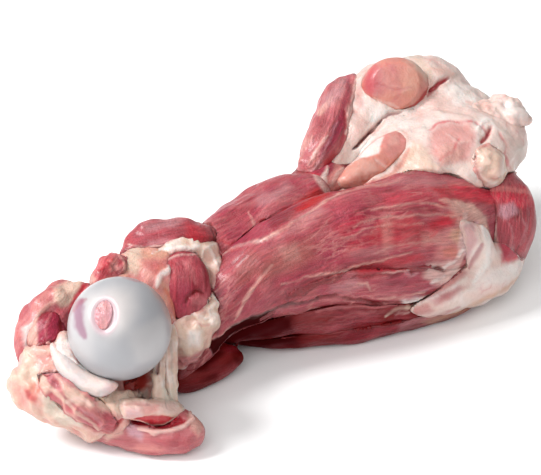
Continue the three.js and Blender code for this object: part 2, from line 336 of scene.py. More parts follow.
def gathered(skins):
    """All the skins' faces in one mesh."""
    points, faces, start = [], [], 0
    for skin in skins:
        points.append((skin.co + SHIFT) * MM)
        faces += (skin.faces() + start).tolist()
        start += len(skin.co)
    mesh = bpy.data.meshes.new("all")
    mesh.from_pydata(np.concatenate(points).tolist(), [], faces)
    return mesh


def envelope_of(skins, spacing=1.1, smooth=3.6, swell=0.9):
    """A closed surface round all the skins, its creases filled and its crests flattened."""
    whole = Skin("", spacing, smooth, swell, gathered(skins))
    return BVHTree.FromPolygons(whole.co.tolist(), whole.faces().tolist())


def remeshed(source, spacing):
    """Even quads over a closed mesh."""
    holder = new_object("source", source)
    modifier = holder.modifiers.new("even", "REMESH")
    modifier.mode = "VOXEL"
    modifier.voxel_size = spacing * MM
    graph = bpy.context.evaluated_depsgraph_get()
    mesh = bpy.data.meshes.new_from_object(holder.evaluated_get(graph))
    bpy.data.objects.remove(holder)
    bpy.data.meshes.remove(source)
    return mesh


# ---- Fibres ----
FIBRE_LINES = {
    "front_muscle": [
        (-59, -13, 7), (-42, -12, 23), (-18, -15, 36), (7, -22, 41),
        (31, -30, 40), (55, -34, 34), (94, -34, 30),
    ],
    "front_lower": [
        (-36, -16, 22), (-20, -20, 28), (0, -27, 30),
        (22, -35, 27), (44, -40, 22), (66, -42, 18),
    ],
    "middle_bundle": [
        (-42, -6, 10), (-26, -12, 16), (-8, -21, 18),
        (12, -30, 16), (32, -37, 12), (52, -42, 9),
    ],
    "lower_bundle": [
        (-30, -2, 8), (-12, -13, 7), (6, -23, 7),
        (24, -32, 7), (42, -38, 7), (76, -42, 11),
    ],
    "top_muscle": [(-40, 4, 36), (-2, 5, 38), (34, 4, 40)],
    "knee_strip": [(81, 37, 63), (59, 26, 58), (49, 19, 54), (30, 13, 46)],
    "hip_flap": [(-99, -12, 5), (-86, -30, 7), (-72, -43, 7)],
}


def fibre_coordinates(skin):
    """Length along the piece's run, and two measures across it."""
    line = FIBRE_LINES.get(skin.node)
    if line is None:
        middle = skin.co.mean(0)
        axis = np.linalg.eigh(np.cov((skin.co - middle).T))[1][:, -1]
        line = [middle - 60 * axis, middle + 60 * axis]
    _, along, offset, _ = follow(skin.co, line)
    axis = unit(np.subtract(line[-1], line[0]))
    first = unit(np.cross(axis, (0.0, 0.3, 1.0)))
    return np.stack([along, offset @ first, offset @ np.cross(axis, first)], 1)


# ---- Base looks: each colours a skin and returns its relief in millimetres ----
def meat_look(skin, base, light, deep, marble=0.5, relief=0.4, seam=CRIMSON):
    strand = noise(skin.fibre, 1.9, 3, 3, (9, 1, 1))
    bundle = noise(skin.fibre, 6, 5, 2, (5, 1, 1))
    streak = noise(skin.fibre, 3.0, 11, 2, (4, 1, 1))
    broad = noise(skin.co, 15, 7)
    patch = noise(skin.co, 7, 9, 3)
    skin.rgb[:] = base
    lit = 0.4 * ease(strand, 0.0, 0.9) + 0.4 * ease(broad, 0.1, 0.9) + 0.5 * ease(streak, 0.1, 0.9)
    sunk = 0.5 * ease(-bundle, 0.1, 0.9) + 0.5 * ease(-streak, 0.1, 0.9) + 0.4 * ease(-patch, 0.2, 0.9)
    skin.tint(light, lit)
    skin.tint(deep, sunk)
    skin.vein += marble * ease(noise(skin.co, 12, 13), -0.4, 0.6)
    # painted crease shade: creases darken toward the crease colour
    skin.tint(seam, 0.7 * skin.seam)
    return relief * (0.4 * strand + 0.9 * bundle + 0.9 * broad) - 0.3 * skin.seam


def fat_look(skin, base, light, deep, lump=5.0, relief=0.6, seam=ROSE):
    lobes = 1 - 2 * np.abs(noise(skin.co, lump, 17, 2))
    broad = noise(skin.co, 13, 19)
    skin.rgb[:] = base
    skin.tint(light, 0.6 * ease(lobes, 0.1, 0.9))
    skin.tint(deep, 0.6 * ease(-lobes, -0.1, 0.8) + 0.5 * ease(broad, 0.1, 0.9))
    # painted crease shade: creases darken toward the crease colour
    skin.tint(seam, 0.5 * skin.seam)
    return relief * (0.7 * lobes + 0.8 * broad) - 0.25 * skin.seam


def gristle_look(skin, base, light, deep, fold=7.0, relief=0.5, seam=PINK, vessel=0.0):
    folds = 1 - 2 * np.abs(noise(skin.co, fold, 23, 3))
    broad = noise(skin.co, 15, 29)
    fine = noise(skin.co, 2.4, 31, 2)
    skin.rgb[:] = base
    skin.tint(light, 0.5 * ease(folds, 0.2, 1) + 0.2 * ease(fine, 0, 1))
    skin.tint(deep, 0.55 * ease(broad, 0.0, 0.8) + 0.4 * ease(-folds, 0.0, 0.9))
    vessels = ease(1 - np.abs(noise(skin.co, 9, 37, 2)) * 14, 0.2, 0.9) * ease(broad, 0.0, 0.5)
    skin.tint(BRIGHT, vessel * vessels)
    # painted crease shade: creases darken toward the crease colour
    skin.tint(seam, 0.4 * skin.seam)
    return relief * (0.8 * folds + 0.7 * broad + 0.25 * fine) - 0.2 * skin.seam


# The function of each look, and its base, light and deep colours and other settings
LOOKS = {
    "meat": (meat_look, MEAT, ROSE, DARK),
    "front": (meat_look, MEAT, ROSE, PLUM, 1.0),
    "sheen": (meat_look, MEAT, ROSE, PLUM, 0.5),
    # partly painted shade: the bundles under the front muscle take a darker red than the meat above
    "dark": (meat_look, DARK, MEAT, CRIMSON, 0.25),
    # painted shade: the pieces under the shaft are dark red all over
    "shade": (meat_look, CRIMSON, DARK, SHADE_RED, 0.0),
    "crimson": (meat_look, PLUM, MEAT, CRIMSON, 0.2, 0.3),
    "block": (meat_look, MEAT, ROSE, DARK, 0.2, 0.3, MEAT),
    "stump": (meat_look, LILAC, BLUSH, ROSE, 0.0, 0.05),
    "mauve": (meat_look, ROSE, PINK, MEAT, 0.5, 0.4, ROSE),
    "rosy": (meat_look, ROSE, PINK, MEAT, 0.5, 0.6, MEAT),
    "bright": (meat_look, ROSE, PALE, BRIGHT, 0.3, 0.6),
    "salmon": (gristle_look, SALMON, PALE, PINK, 8, 0.15, ORANGE, 0.4),
    "fat": (fat_look, CREAM, WHITE, PALE),
    "collar": (fat_look, PALE, CREAM, PINK, 6.5, 0.9),
    "mottled": (fat_look, ROSE, PALE, MEAT, 5.5, 0.8, ROSE),
    "tissue": (gristle_look, PINK, TAN, ROSE, 9, 0.4, ROSE),
    "gristle": (gristle_look, IVORY_PINK, WHITE, BLUSH, 11, 0.6, PALE, 0.25),
    "white": (gristle_look, PORCELAIN, IVORY_PINK, LILAC, 12, 0.1, LILAC),
    "sheet": (gristle_look, IVORY_PINK, WHITE, BLUSH, 10, 0.3, PALE, 0.3),
    "strand": (gristle_look, CREAM, WHITE, PALE, 5, 0.15, PALE),
}

# Node: material slot, look, mesh spacing, smoothing, swell, pull on crests, and the size and height
# of its lumps if it has any
SKINS = {
    "head_ligament": ("pale_meat", "stump", 0.3, 0.5, 0.2, 0.0),
    "hip_rim": ("gristle", "white", 0.4, 1.2, 0.2, 0.6),
    "hip_strands": ("gristle", "strand", 0.4, 0.9, 0.3, 0.5, 6, 0.6),
    "hip_flap": ("pale_meat", "mauve", 0.45, 1.5, 0.5, 0.3, 7, 0.6),
    "hip_block": ("dark_meat", "block", 0.5, 1.4, 0.5, 0.5),
    "hip_fat": ("fat", "fat", 0.45, 1.4, 0.4, 0.4, 5, 0.8),
    "hip_top_muscle": ("meat", "meat", 0.5, 1.6, 0.5, 0.7, 9, 1.0),
    "hip_band": ("fat", "fat", 0.5, 1.0, 0.5, 0.8, 4, 0.4),
    "hip_red_bits": ("meat", "bright", 0.4, 0.8, 0.3, 0.6, 5, 0.8),
    "collar_oval": ("dark_meat", "crimson", 0.45, 0.9, 0.4, 0.8),
    "collar_lower": ("pale_meat", "mottled", 0.45, 1.4, 0.4, 0.95, 6, 1.1),
    "collar_upper": ("pale_meat", "rosy", 0.55, 1.8, 0.6, 0.9, 7, 1.1),
    "collar_fat": ("fat", "collar", 0.55, 1.8, 0.6, 0.6, 6, 1.2),
    "hip_tissue": ("pale_meat", "tissue", 0.65, 2.0, 0.7, 0.6, 8, 0.6),
    "kneecap": ("pink", "salmon", 0.45, 1.4, 0.3, 0.85),
    "knee_strip": ("meat", "mauve", 0.5, 1.6, 0.5, 0.8, 8, 0.9),
    "knee_pad": ("pink", "salmon", 0.5, 1.6, 0.2, 1.0, 7, 0.6),
    "knee_lobe": ("fat", "fat", 0.5, 1.4, 0.3, 0.9, 5, 0.7),
    "knee_flap": ("gristle", "gristle", 0.45, 0.8, 0.3, 0.2, 4, 1.3),
    "knee_end_muscle": ("meat", "meat", 0.6, 1.8, 0.6, 0.6),
    "tendon_sheet": ("gristle", "sheet", 0.7, 2.0, 0.6, 0.7, 9, 0.7),
    "front_muscle": ("meat", "front", 0.6, 2.6, 0.7, 0.6, 16, 1.2),
    "front_lower": ("meat", "front", 0.6, 2.0, 0.6, 0.6, 11, 0.9),
    "middle_bundle": ("dark_meat", "dark", 0.7, 2.0, 0.6, 0.5, 10, 0.8),
    "lower_bundle": ("dark_meat", "dark", 0.7, 2.0, 0.6, 0.5, 12, 0.9),
    "top_muscle": ("meat", "sheen", 0.6, 2.4, 0.7, 0.6, 13, 1.3),
    "under_muscle": ("dark_meat", "shade", 0.8, 1.6, 0.5, 0.3),
    "rear_muscle": ("meat", "meat", 0.9, 3.0, 0.8, 0.6, 18, 1.5),
    "deep_muscle": ("dark_meat", "shade", 1.0, 2.5, 0.5, 0.5),
    "knee_capsule": ("gristle", "gristle", 0.75, 2.6, 0.7, 0.6, 10, 1.0),
}
LAYER = 0.02  # a piece lies this many millimetres over the next, so that no two share a surface
# How far a piece fills the creases beside it, where that isn't all the way
FILL = {"head_ligament": 0.0, "hip_rim": 0.4, "hip_strands": 0.5, "kneecap": 0.8, "hip_block": 0.8}

# Marks on each piece: colour, strength, width of a stroke (below 0: a filled area, softened by that
# much), its course as x,y pixels of the photograph, and its height in millimetres if it has one
MARKS = {}
MARKS["hip_rim"] = [
    (ROSE, 0.5, 2.5, "68,350 76,360 90,372", -0.2),
    # painted shade along the rim's lower edge
    (GREY, 0.4, 3, "54,362 64,374 80,387 96,392 112,391"),
    (PALE, 0.5, -5, "112,374 126,376 126,394 110,392", -0.2),
    (BLUSH, 0.6, -5, "48,340 60,338 62,354 52,358"),
]
MARKS["hip_strands"] = [
    # painted shade in the sunk grooves between the strands
    (GREY, 0.5, 2, "164,345 162,362 164,385 167,408", -0.3),
    (WHITE, 0.6, 2, "168,342 167,365 169,390 172,404", 0.3),
    (GREY, 0.5, 2, "172,340 172,365 174,395", -0.3),
    (CRIMSON, 0.85, 3, "159,362 157,373", -1.0),
    # the hole's dark red tissue and its painted shade, laid on the strands that cover it
    (CRIMSON, 0.9, -2, "128,376 138,371 150,370 152,380 149,390 136,392 128,388", -0.8),
    (CREAM, 0.8, 6, "147,369 155,376 157,388 150,397 134,400 120,399", 0.5),
    (TAN, 0.7, 3, "131,404 137,408", -0.2),
    (IVORY, 0.7, -4, "159,386 176,386 177,406 162,410"),
    # whitish membrane, its pale partly a painted sheen; then a lilac painted sheen
    (BLUSH, 0.8, -4, "112,404 138,401 176,401 184,414 160,414 116,418"),
    (LILAC, 0.5, -4, "124,408 142,406 144,418 126,420"),
    (PINK, 0.6, -4, "142,404 160,403 158,414 144,416", -0.3),
    (ROSE, 0.5, 3, "108,408 118,404 134,402 150,404", -0.3),
    (CREAM, 0.7, -4, "106,400 122,402 124,416 110,414", -1.2),
    (RED, 0.95, -2, "130,422 138,417 154,415 170,416 188,419 188,434 130,434", -0.6),
]
MARKS["hip_flap"] = [
    (BLUSH, 0.8, 6, "106,412 118,416 132,420", 1.2),
    (CREAM, 0.7, -4, "96,430 104,426 122,424 124,436 108,441", 0.2),
    (RED, 0.7, 2.5, "124,415 117,423 109,431", -0.6),
    # lilac painted sheen on the flap's left
    (LILAC, 0.8, -4, "123,421 134,420 144,434 142,441 128,438"),
    (MEAT, 0.5, -6, "146,438 170,436 198,432 198,446 186,453 160,450", 0.2),
    (PALE, 0.8, -4, "185,411 198,414 205,428 199,438 190,430", 0.3),
    (BLUSH, 0.85, 6, "140,430 154,432 172,430 185,425 192,418 190,412", 0.8),
    (ROSE, 0.5, 4, "204,428 200,442 188,452"),
    (RED, 0.95, -2, "130,420 138,412 152,410 170,410 183,414 187,421 172,428 150,429 136,427", -1.0),
]
MARKS["hip_block"] = [
    (PLUM, 0.6, -7, "166,285 180,278 194,284 192,300 186,320 176,315"),
    (RED, 0.3, -5, "166,262 176,256 180,300 172,304"),
    (CRIMSON, 0.85, 3, "186,304 188,296 196,291 204,292", -0.8),
    (ROSE, 0.7, -3, "189,298 198,294 207,296 207,304 198,306 190,305", 0.5),
    (ROSE, 0.5, 6, "184,262 192,270 196,284"),
    (DARK, 0.5, 4, "206,262 207,290"),
    (BLUSH, 0.6, 2, "163,266 168,259 182,255 204,255", 0.2),
]
MARKS["hip_tissue"] = [
    (CREAM, 0.9, -5, "124,243 143,242 144,258 136,276 124,270", 0.3),
    (TAN, 0.6, -6, "140,246 178,245 180,254 160,262 142,264"),
    (PINK, 0.6, -6, "138,258 160,256 158,282 140,276"),
    (BRIGHT, 0.4, -6, "150,262 168,257 166,272 154,280"),
    (MEAT, 0.4, -6, "140,257 158,254 164,264 152,274 142,270"),
    (WHITE, 0.8, 7, "156,287 160,277 170,269 180,260", 0.6),
    (ORANGE, 0.8, 9, "164,290 172,304 179,322 180,345"),
    (BLUSH, 0.6, 3, "172,318 177,332 178,346", 0.2),
]
MARKS["hip_top_muscle"] = [
    (MEAT, 0.8, -6, "124,232 150,226 178,232 178,246 126,246"),
    (RED, 0.3, -5, "122,232 132,228 134,246 124,246"),
    (MAUVE, 0.7, -5, "140,224 168,217 186,219 176,228 146,232"),
    (MAUVE, 0.5, -4, "146,238 174,238 176,246 146,246"),
    (RED, 0.55, -6, "184,222 206,225 212,238 196,246 186,240"),
    (CRIMSON, 0.6, 3, "211,228 214,238 210,246", -0.6),
    (BLUSH, 0.6, 3, "128,245 145,247 165,246", 0.2),
]
MARKS["hip_band"] = [
    (WHITE, 0.6, 4, "160,248 186,246 206,247 215,256 219,270", 0.3),
    (GREY, 0.6, 4, "219,258 220,280 215,304"),
    (PALE, 0.5, 3, "210,262 211,300", -0.2),
]
MARKS["hip_red_bits"] = [
    (RED, 0.6, -5, "104,256 116,256 116,274 100,280 96,270"),
    (PALE, 0.85, -3, "84,276 92,272 96,280 90,288 84,284"),
    (PLUM, 0.5, 4, "108,262 114,268 120,276", -0.6),
    (PALE, 0.6, 3, "118,254 124,262 124,272", 0.4),
    (PINK, 0.8, -3, "106,260 117,258 119,270 108,273", 0.3),
    (RED, 0.7, 3, "96,272 104,266 112,260", 0.4),
    (ORANGE, 0.6, 3, "98,282 108,278 122,276"),
]
MARKS["collar_oval"] = [
    (PLUM, 0.7, -4, "42,325 50,312 60,314 56,340 46,342"),
    (ROSE, 0.5, 3, "50,314 46,326 46,336", 0.2),
    (CRIMSON, 0.8, 4, "63,318 60,332 54,342", -0.2),
    (PALE, 0.9, -3, "26,312 38,310 37,346 26,346", 0.2),
]
MARKS["collar_lower"] = [
    (PALE, 0.7, -4, "32,364 50,364 46,380 38,386"),
    (MAUVE, 0.4, -6, "38,368 60,368 80,388 72,400 50,388"),
    (CREAM, 0.8, -4, "64,384 76,388 96,402 92,412 74,404 62,394", 0.3),
    (CREAM, 0.7, 5, "38,370 48,386 62,398 80,414 100,430", 0.2),
    (PALE, 0.6, 4, "60,366 76,380 92,392 110,404 122,416", 0.2),
    (MEAT, 0.6, 5, "41,370 50,378 60,388 66,398"),
    (PALE, 0.6, -4, "52,372 64,378 76,390 70,396 58,386", 0.2),
    (BLUSH, 0.7, 4, "66,402 76,398 86,400 94,406", 0.2),
    (MEAT, 0.6, -5, "68,404 84,402 104,412 118,424 108,434 90,424"),
    (CREAM, 0.8, -4, "36,372 44,380 52,392 46,396 36,384", 0.3),
    (CREAM, 0.7, -4, "92,392 106,398 120,410 114,414 98,406", 0.2),
    (RED, 0.5, 2.5, "120,420 114,430 106,436", -0.5),
    (MAUVE, 0.6, 3, "80,408 96,418 104,428", 0.2),
]
MARKS["collar_upper"] = [
    (MEAT, 0.7, 7, "18,322 28,306 42,294 56,286"),
    (MEAT, 0.6, 4, "16,346 24,332 34,318"),
    (PALE, 0.7, 5, "30,326 40,312 50,304 60,300", 0.3),
    (CREAM, 0.9, -4, "53,288 67,280 86,277 80,292 72,304 62,308 54,300", 0.3),
    (WHITE, 0.7, -4, "22,328 38,316 38,344 24,348", 0.2),
    (BRIGHT, 0.85, 5, "84,286 74,298 69,312"),
    (RED, 0.6, 3, "88,284 80,292", -0.3),
]
MARKS["collar_fat"] = [
    (WHITE, 0.9, -3, "56,336 68,334 76,350 90,366 108,376 112,386 90,384 68,366 54,348", 0.3),
    (ROSE, 0.6, 3, "69,346 78,360 92,370 108,376", -0.2),
    (ROSE, 0.7, -4, "14,318 27,312 28,340 24,350 15,346"),
    (BLUSH, 0.8, -4, "28,318 42,312 42,338 32,346", 0.4),
    (BLUSH, 0.85, -4, "56,322 68,318 66,340 58,344", 0.5),
    (RED, 0.6, 3, "50,344 56,350 48,356", -0.3),
    (MEAT, 0.75, -2, "8,352 18,348 18,366 10,376", 0.3),
    (CREAM, 0.8, -4, "12,352 30,348 36,360 26,378 10,382", 0.4),
    (PINK, 0.7, -4, "34,352 52,354 50,366 36,372"),
    (ORANGE, 0.6, -4, "24,372 38,372 44,390 34,396 24,386"),
    (RED, 0.75, -4, "22,388 30,388 38,398 36,406 26,400"),
    (MAUVE, 0.6, -5, "12,352 24,350 28,366 16,374"),
    (CREAM, 0.8, -4, "20,366 34,362 40,378 28,388 18,380", 0.3),
    (IVORY, 0.85, -4, "40,394 54,394 66,400 84,416 82,428 60,426 44,410", 0.6),
    (CREAM, 0.9, -3, "76,390 90,388 122,392 150,391 154,404 120,414 96,404", 0.3),
    (TAN, 0.6, 5, "97,398 105,402"),
    (MEAT, 0.7, -4, "82,402 104,410 120,420 110,436 92,432", 0.2),
    (BLUSH, 0.7, -3, "88,430 112,436 130,442 112,444"),
    (LILAC, 0.6, -4, "120,408 140,406 138,418 122,418"),
    (HOLLOW, 0.97, -2, "122,380 131,372 150,369 154,378 151,389 140,392 127,389", -2.2),
    # painted shadow under the ball's edge at the top of the hole
    (SHADE_RED, 0.7, 4, "126,382 136,376 148,374", -0.4),
    (RED, 0.8, 3, "112,432 118,423 125,416", -0.8),
]
MARKS["hip_fat"] = [
    (ROSE, 0.85, -4, "174,356 190,354 206,346 212,352 200,368 176,370", -0.4),
    (CREAM, 0.7, -5, "176,326 206,324 206,350 180,356"),
    (PALE, 0.6, 4, "176,328 177,342 182,354"),
    (WHITE, 0.85, -4, "186,330 202,330 200,346 188,346", 0.2),
    (PINK, 0.5, 3, "194,320 202,326 208,324", -0.4),
]
MARKS["kneecap"] = [
    (ROSE, 0.7, -7, "362,74 372,62 384,66 386,92 372,100 363,92"),
    (BRIGHT, 0.5, -7, "362,70 374,62 380,84 370,98 362,88"),
    (MEAT, 0.4, -6, "362,76 374,70 380,84 370,96 362,88"),
    (ROSE, 0.4, -8, "372,66 398,62 412,74 400,90 376,96"),
    (BLUSH, 0.5, 6, "374,98 384,104 398,107"),
    (ROSE, 0.35, 5, "386,62 398,74 400,92 392,102"),
    (TAN, 0.3, -7, "398,66 418,68 426,86 410,98 396,84"),
    (CREAM, 0.75, -3, "402,54 416,57 430,72 426,82 414,68", 0.2),
    (RED, 0.7, 4, "401,111 411,108 421,101 428,91", -0.4),
    (ROSE, 0.4, 2, "378,84 396,90 412,88", -0.1),
]
MARKS["knee_strip"] = [
    (MAUVE, 0.7, -5, "352,70 335,82 321,97 320,110 336,104 348,84"),
    (PALE, 0.7, 9, "318,114 324,108 332,98", 0.2),
    (PLUM, 0.7, 8, "348,74 347,92 342,112"),
    (MAUVE, 0.6, -6, "326,94 342,80 350,76 338,104 326,112"),
    (PLUM, 0.9, 10, "344,112 338,130 330,144 320,156"),
    (RED, 0.6, 5, "346,112 345,132 340,146", -0.3),
    (RED, 0.8, -4, "322,160 334,150 340,154 330,172 320,174"),
    (BLUSH, 0.7, 3, "326,136 316,150 306,164", 0.3),
    (MAUVE, 0.7, 3, "330,142 320,158 310,172", 0.3),
    (LILAC, 0.6, 2.5, "338,122 332,134 326,146", 0.2),
    (PALE, 0.4, 6, "312,136 302,148 296,162", 0.2),
    (PLUM, 0.5, -6, "330,112 344,104 348,130 336,156 322,158 326,132"),
    (ROSE, 0.6, 4, "306,158 298,168 294,176"),
    # pale membrane colour, made paler as painted light against the shade in the crease beside the capsule
    (BLUSH, 0.8, 6, "357,76 354,96 350,116 346,134", 0.1),
]
MARKS["knee_pad"] = [
    (PALE, 0.5, -5, "345,172 362,160 382,160 376,172 350,180", 0.2),
    (PINK, 0.7, -5, "384,132 398,128 410,138 408,154 392,160 382,154", 0.3),
    (PALE, 0.5, -4, "388,134 400,134 400,146 388,150", 0.2),
    (ORANGE, 0.7, 6, "362,182 380,178 392,170 400,158 410,148", -0.3),
    (WHITE, 0.95, -2, "328,178 350,150 380,126 388,130 383,139 380,154 362,159 346,167 334,180", -0.3),
    (BLUSH, 0.5, 4, "376,160 384,164 390,170", -0.3),
]
MARKS["knee_flap"] = [
    (PALE, 0.6, -4, "472,98 490,102 494,116 480,112"),
    # painted shadow under the ragged flap
    (GREY, 0.7, 4, "488,120 506,126 524,130", -0.4),
    (WHITE, 0.7, -4, "500,100 518,102 530,116 516,120 500,112", 0.3),
]
MARKS["knee_lobe"] = [
    (CREAM, 0.8, -4, "474,150 488,146 500,154 500,176 484,178", 0.3),
    (PINK, 0.5, 3, "470,150 472,168 482,182", -0.4),
]
MARKS["knee_end_muscle"] = [
    (BRIGHT, 0.8, -5, "486,184 532,184 538,206 518,208 500,202 488,204"),
    # pink, partly painted light against the shade under the capsule's edge
    (PINK, 0.6, 7, "488,188 510,188 534,194"),
    (LILAC, 0.6, -4, "498,204 514,200 520,212 508,220 497,216", 0.2),
    (MEAT, 0.8, -5, "490,222 512,218 534,212 530,240 508,252 492,244"),
    (RED, 0.4, 5, "534,206 530,226 522,250"),
    (MAUVE, 0.6, -4, "498,246 516,244 518,262 502,266", 0.2),
    (BLUSH, 0.9, 7, "492,212 494,230 497,250 502,268", 0.2),
    (MAUVE, 0.4, 2, "508,222 514,234 512,252", 0.1),
    (MAUVE, 0.4, 2, "520,214 526,226 522,244", 0.1),
]
MARKS["tendon_sheet"] = [
    (BRIGHT, 0.9, -4, "499,228 512,230 534,226 532,256 510,264 501,262", -0.2),
    (PLUM, 0.6, -4, "496,236 520,232 528,240 520,256 502,260"),
    (WHITE, 0.7, -6, "490,268 524,258 520,278 480,292 462,292", 0.2),
    (ROSE, 0.6, -5, "414,296 440,280 462,262 468,274 444,292 420,304"),
    (WHITE, 0.7, 3, "418,304 444,292 466,278", 0.2),
    (MEAT, 0.7, -6, "438,294 458,284 468,286 456,298 440,302"),
    (ROSE, 0.6, -5, "428,298 450,290 454,300 436,308"),
    (PINK, 0.5, 7, "414,300 434,288 456,276"),
    (ORANGE, 0.3, -6, "404,304 430,298 436,310 410,318"),
    (ROSE, 0.6, 4, "404,326 440,316 460,308"),
    (PLUM, 0.6, 6, "470,268 476,256 482,244", -0.3),
    (MAUVE, 0.7, -4, "456,252 458,224 474,218 478,240 468,262"),
    (CREAM, 0.5, 3, "462,226 466,240 464,254"),
    (WHITE, 0.9, 8, "482,222 488,244 486,264 474,282", 0.4),
    (TAN, 0.7, 5, "440,322 470,308 500,292 520,276"),
    (PINK, 0.6, 3, "462,270 452,282 430,292", -0.2),
    (ROSE, 0.6, -4, "408,306 430,302 436,312 414,320"),
]
MARKS["front_muscle"] = [
    # painted shade on the lower left, toward the hip end and the shaft's underside
    (DARK, 0.45, -10, "222,300 240,250 260,250 250,296 225,332"),
    (BROWN, 0.4, -6, "232,262 250,250 262,254 252,282 234,290"),
    (BROWN, 0.6, -12, "250,272 272,246 310,234 324,258 290,276 262,286"),
    (PALE, 0.3, -6, "276,246 298,240 304,258 284,264"),
    (PLUM, 0.7, -4, "216,262 240,246 262,238 278,230 282,206 255,214 222,244"),
    (CRIMSON, 0.5, -6, "268,236 299,215 322,202 334,194 330,182 299,194 268,210"),
    (RED, 0.6, -6, "290,222 322,202 334,194 330,184 300,198"),
    (MAUVE, 0.5, -8, "296,214 320,204 330,212 306,230 282,236"),
    (PLUM, 0.45, -8, "326,208 362,200 380,206 366,240 334,246"),
    # painted highlight along the muscle's top edge
    (MAUVE, 0.55, -5, "376,182 410,176 470,178 468,184 410,186"),
    (RED, 0.75, -5, "428,186 470,184 530,190 528,204 486,206 440,198"),
    (BRIGHT, 0.4, -6, "380,192 430,190 440,200 390,208"),
    (RED, 0.85, -5, "427,222 448,212 466,210 470,222 446,228 430,234"),
    (RED, 0.6, -5, "440,196 466,194 462,206 438,208"),
    (RED, 0.5, -5, "346,240 372,232 392,232 376,244 350,250"),
    (RED, 0.65, -5, "350,268 385,256 420,252 430,258 400,266 360,272", -0.2),
    (PLUM, 0.4, -6, "320,262 350,252 370,256 340,270"),
    (SCARLET, 0.8, -4, "296,208 312,195 326,188 336,191 322,202 304,212"),
    (BLUSH, 0.6, 4, "218,257 232,250 244,245 262,240 278,233", 0.1),
    (PALE, 0.6, 3, "262,240 284,229 303,217 325,203 340,194", 0.2),
    (RED, 0.6, 3, "222,250 232,252 240,249", -0.2),
    (PALE, 0.7, 3.5, "236,318 249,295 262,276 272,264", 0.2),
    (PALE, 0.4, 3, "337,195 362,187 400,181", 0.1),
    (RED, 0.6, 2.5, "336,192 352,187 374,182", -0.2),
    (PALE, 0.7, 3, "205,348 215,335 240,322 278,309", 0.6),
    (PALE, 0.55, 2.2, "282,285 310,277 338,271 364,264 390,257 412,252", 0.4),
    (RED, 0.6, -8, "376,222 410,214 440,232 430,250 392,250 368,244"),
    (PALE, 0.35, -6, "420,232 440,228 444,244 420,248"),
    (BRIGHT, 0.9, -5, "448,180 500,182 532,190 530,204 496,202 450,198"),
    # pink, partly painted light against the shade under the capsule's edge
    (PINK, 0.6, 6, "452,184 490,187 530,194"),
    # painted highlight along the muscle's top edge
    (ROSE, 0.5, -5, "396,178 430,174 470,176 470,186 430,186 398,188"),
    (RED, 0.4, -6, "330,226 352,214 372,214 364,230 340,240"),
    (PALE, 0.55, 2, "372,212 400,205 426,204 450,208 466,214", 0.1),
    (PALE, 0.5, 1.8, "352,226 380,219 410,216 440,214 460,218", 0.1),
    (PALE, 0.4, 1.5, "340,238 366,230 398,224 424,224", 0.1),
    (PALE, 0.4, 1.5, "372,254 402,244 432,240 448,244", 0.1),
    (PALE, 0.3, -6, "382,214 396,210 394,252 380,256"),
    # painted shade under the shaft's lower edge
    (SHADE_RED, 0.97, -2, "208,344 230,325 252,315 280,307 302,300 306,316 270,330 238,344 212,356", -0.6),
    (MEAT, 0.8, 3, "208,340 230,322 252,312 280,304 302,297", 0.2),
    (CRIMSON, 0.5, 2, "380,212 412,209 440,211", -0.3),
    (CRIMSON, 0.5, 2, "382,229 412,230 428,232", -0.3),
    (CRIMSON, 0.4, 2, "350,216 370,208 388,200", -0.3),
    (PALE, 0.7, -6, "448,200 470,204 486,216 492,236 488,264 474,264 464,236 450,218"),
    (PINK, 0.7, -6, "436,236 448,226 466,224 468,246 452,262 434,260"),
    (TAN, 0.7, -5, "446,238 450,228 464,226 467,236 458,246", 0.2),
    (ORANGE, 0.5, -4, "438,250 450,246 460,250 456,260 442,258"),
    (BRIGHT, 0.4, 3, "430,236 446,222 460,216"),
    (LILAC, 0.85, -4, "461,252 460,236 468,222 480,222 478,240 468,262", 0.3),
    (PALE, 0.85, 9, "456,204 470,209 481,220 487,236 488,254", 0.3),
    (PALE, 0.6, 8, "440,200 460,205 476,216", 0.1),
    (BLUSH, 0.6, -4, "428,262 448,260 462,264 456,274 432,274"),
    (BLUSH, 0.6, 9, "464,214 463,232 462,252 452,274", 0.2),
    (WHITE, 0.6, 3, "462,250 452,262 436,272", 0.2),
    (CRIMSON, 0.9, 3, "437,267 442,269", -0.6),
]
MARKS["front_lower"] = [
    (RED, 0.65, -5, "352,270 385,260 425,256 426,266 400,272 360,280"),
    (BROWN, 0.4, -8, "262,298 290,288 320,284 318,296 284,302"),
    (MAUVE, 0.5, -6, "330,284 352,278 372,284 352,294 330,294"),
    (PLUM, 0.5, -5, "376,282 400,276 422,280 404,292 380,294"),
    (PALE, 0.6, 2.4, "279,286 308,278 337,271 364,264", 0.4),
    (CRIMSON, 0.5, 3, "352,277 380,274 404,272", -0.4),
    (BLUSH, 0.7, -5, "426,264 448,262 462,266 458,280 436,286 424,278", 0.2),
    (CRIMSON, 0.95, 3.5, "436,267 443,270", -0.8),
    (CRIMSON, 0.85, 3, "411,273 414,275", -0.6),
    (MAUVE, 0.7, 4, "406,272 412,278 420,274", 0.2),
    (PALE, 0.6, 2.5, "358,283 367,283 371,290", 0.1),
    (BLUSH, 0.5, 2, "384,272 404,270 424,270", 0.2),
    (MAUVE, 0.6, 4, "420,292 444,282 462,274", 0.2),
    (WHITE, 0.85, -4, "400,300 420,296 438,296 430,304 404,306", 0.3),
    (BLUSH, 0.6, 8, "462,262 452,272 440,282", 0.2),
    (WHITE, 0.6, 3, "444,274 430,283", 0.2),
    (PALE, 0.6, 3, "378,298 400,298 424,292", 0.2),
    (CRIMSON, 0.85, 3.5, "318,298 337,296 346,299 378,303 403,303", -0.6),
    # painted shade in the crease above the middle bundle
    (SHADE_RED, 0.7, 4, "262,312 290,304 320,299", -0.4),
]
